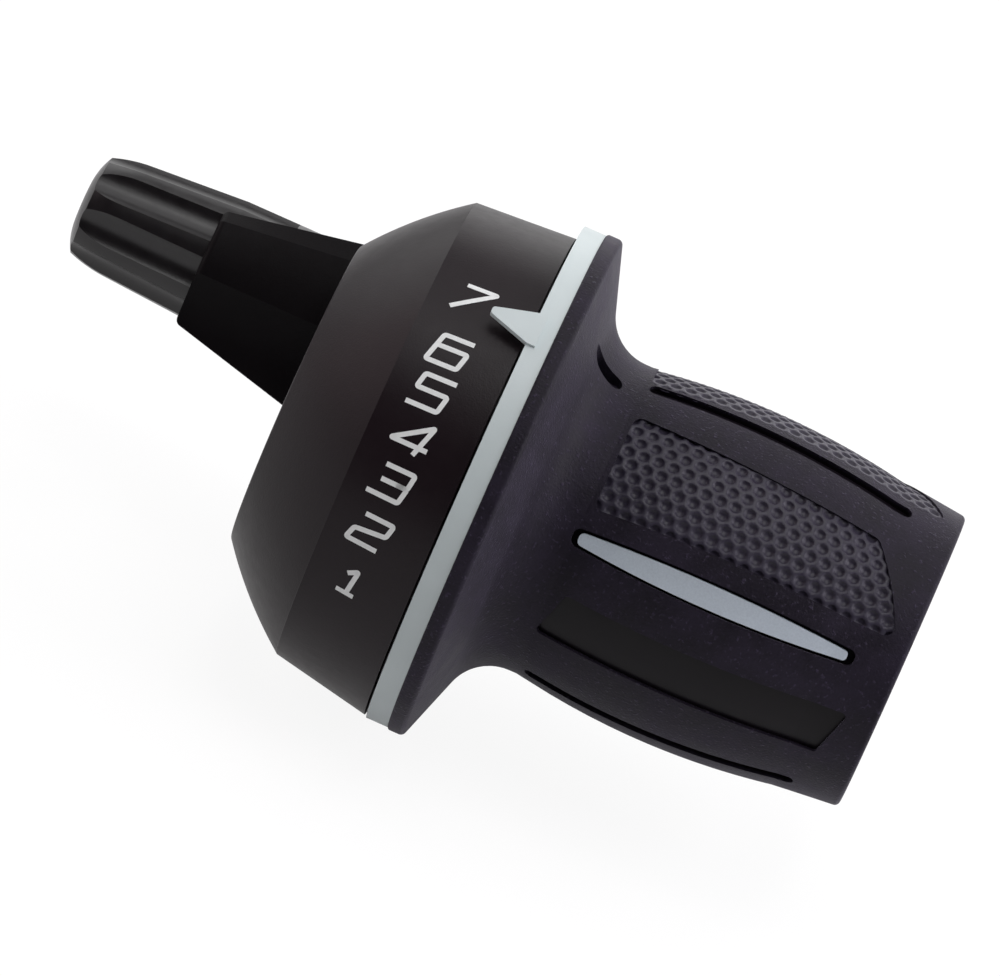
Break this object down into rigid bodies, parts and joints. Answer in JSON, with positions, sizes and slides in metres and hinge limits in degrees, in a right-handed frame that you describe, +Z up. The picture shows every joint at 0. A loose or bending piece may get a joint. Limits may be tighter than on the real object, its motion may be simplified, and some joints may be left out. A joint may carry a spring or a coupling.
{
  "type": "twist grip shifter",
  "caption": "Right-hand twist grip gear shifter: domed housing with a numbered band, pointer ring, dimpled rubber grip and a fluted cable adjuster, clamped on a handlebar.",
  "frame": {"origin": "on the handlebar's axis, at the flat inboard face of the housing", "axes": "+X along the bar from the housing to the open end of the grip (outboard), +Y forward, away from the rider, on the side of the cable adjuster, +Z up"},
  "size_m": [0.0985, 0.0564, 0.0564],
  "materials": {
    "body_black": "moulded, satin",
    "cover_grey": "moulded, fine matt with pale printed numbers",
    "adjuster_black": "moulded, slight gloss",
    "guide_white": "moulded acetal",
    "core_black": "moulded",
    "indicator_grey": "moulded, smooth",
    "grip_rubber": "fine grained, with dimpled pads",
    "leaf_silver": "satin",
    "band_steel": "plain bright",
    "screw_steel": "bright plated",
    "spring_steel": "rolled strip"
  },
  "bodies": {
    "housing": {"housing_body": "body_black", "housing_cover": "cover_grey", "cover_screws": "screw_steel", "clamp_band": "band_steel", "clamp_screw": "screw_steel", "clamp_nut": "screw_steel", "cable_guide": "guide_white", "inner_washer": "guide_white", "outer_washer": "guide_white", "retaining_ring": "spring_steel"},
    "grip": {"grip_core": "core_black", "detent_spring": "spring_steel", "indicator_ring": "indicator_grey", "grip_cover": "grip_rubber", "leaf_inlay": "leaf_silver"},
    "adjuster": {"barrel_adjuster": "adjuster_black"}
  },
  "joints": [
    {"name": "grip_twist", "type": "hinge", "parent": "housing", "child": "grip", "pos_m": [0, 0, 0], "axis": [1, 0, 0], "range_deg": [0, 74.4], "deforming": ["detent_spring"]},
    {"name": "adjuster_turn", "type": "hinge", "parent": "housing", "child": "adjuster", "pos_m": [-0.02955, 0.02005, 0], "axis": [-1, 0, 0], "range_deg": [0, 1080]}
  ]
}
